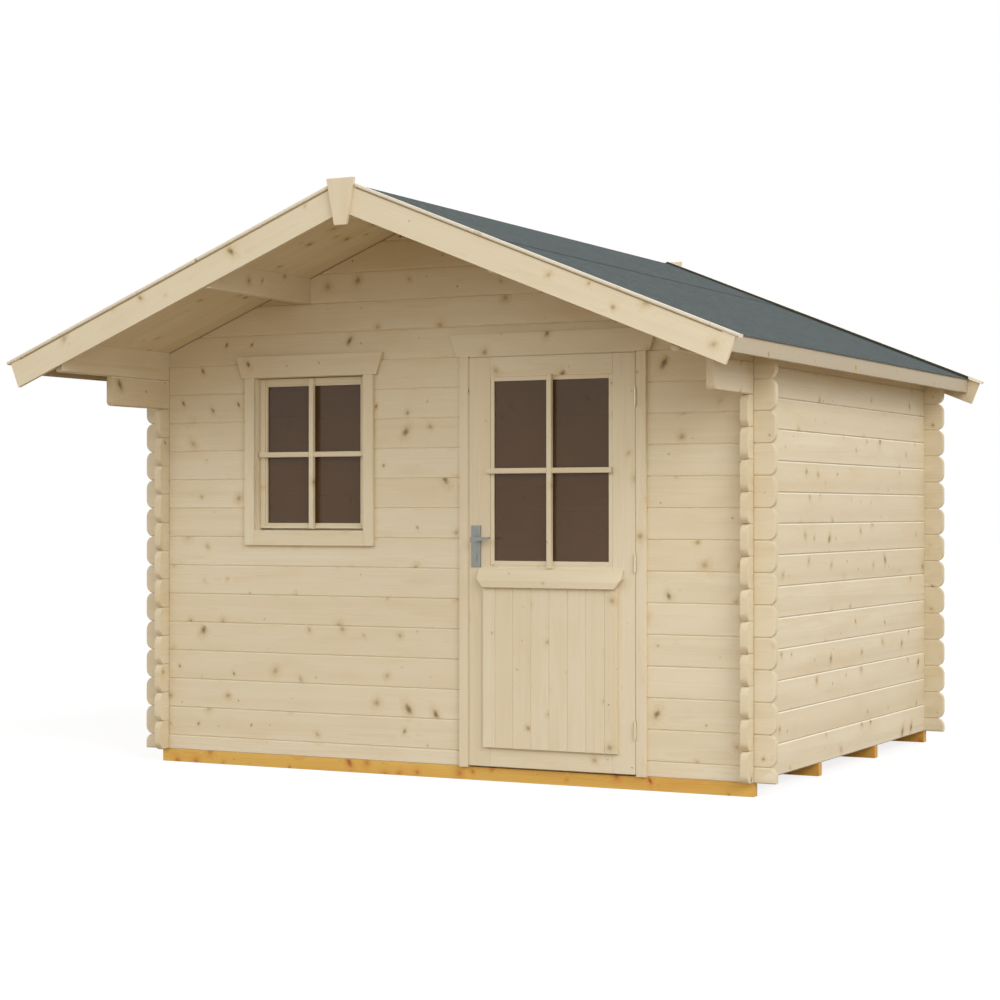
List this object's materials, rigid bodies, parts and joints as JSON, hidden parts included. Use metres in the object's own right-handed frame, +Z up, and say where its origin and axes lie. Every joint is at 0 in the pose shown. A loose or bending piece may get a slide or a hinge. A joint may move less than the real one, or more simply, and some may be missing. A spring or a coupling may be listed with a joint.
{
  "type": "log cabin",
  "caption": "Small guest cabin of interlocking spruce logs with crossed tips, a felted gable roof with a deep front overhang, a glazed and boarded door that swings out, and a window.",
  "frame": {"origin": "on the ground under the middle of the outline, which runs from the front peak board to the rear peak board", "axes": "+X to the right as seen from the front, -Y towards the front with the door, +Z up"},
  "size_m": [3.5204, 3.5396, 2.5738],
  "materials": {
    "spruce_logs": "planed spruce logs and roof boards, untreated, with fine grain and small knots",
    "spruce_boards": "planed pale spruce boards, untreated",
    "treated_beam": "pressure-treated pine, yellow-brown",
    "roofing_felt": "mineral-surfaced bitumen roofing felt, blue-grey",
    "window_pane": "plain float glass",
    "zinc_hinge": "yellow zinc-plated steel",
    "satin_handle": "satin grey metal"
  },
  "bodies": {
    "cabin": {"front_floor_beam": "treated_beam", "second_floor_beam": "treated_beam", "third_floor_beam": "treated_beam", "back_floor_beam": "treated_beam", "floor_boards": "spruce_logs", "left_wall_logs": "spruce_logs", "right_wall_logs": "spruce_logs", "front_wall_left_logs": "spruce_logs", "front_wall_right_logs": "spruce_logs", "front_gable_logs": "spruce_logs", "back_wall_logs": "spruce_logs", "back_gable_logs": "spruce_logs", "left_purlin": "spruce_logs", "right_purlin": "spruce_logs", "ridge_purlin": "spruce_logs", "left_roof_boards": "spruce_logs", "right_roof_boards": "spruce_logs", "left_roof_felt": "roofing_felt", "right_roof_felt": "roofing_felt", "ridge_felt": "roofing_felt", "front_left_barge_board": "spruce_boards", "front_right_barge_board": "spruce_boards", "rear_left_barge_board": "spruce_boards", "rear_right_barge_board": "spruce_boards", "front_cover_battens": "spruce_boards", "rear_cover_battens": "spruce_boards", "front_peak_board": "spruce_boards", "rear_peak_board": "spruce_boards", "left_eave_board": "spruce_boards", "right_eave_board": "spruce_boards", "door_frame": "spruce_boards", "door_trims": "spruce_boards", "inner_trims": "spruce_boards", "hinge_pins": "zinc_hinge", "window_frame": "spruce_boards", "window_sash": "spruce_boards", "window_glass": "window_pane", "window_trims": "spruce_boards"},
    "door": {"door_leaf": "spruce_boards", "door_boarding": "spruce_boards", "door_drip_board": "spruce_boards", "door_glass": "window_pane", "hinge_sleeves": "zinc_hinge", "handle_plates": "satin_handle"},
    "lever": {"door_lever": "satin_handle"}
  },
  "joints": [
    {"name": "door_hinge", "type": "hinge", "parent": "cabin", "child": "door", "pos_m": [0.9725, -0.9495, 0.97], "axis": [0, 0, 1], "range_deg": [0, 110]},
    {"name": "lever_press", "type": "hinge", "parent": "door", "child": "lever", "pos_m": [0.205, -0.9235, 1.067], "axis": [0, 1, 0], "range_deg": [0, 40], "stiffness_Nm_per_rad": 0.8, "springref_deg": -17.19}
  ]
}
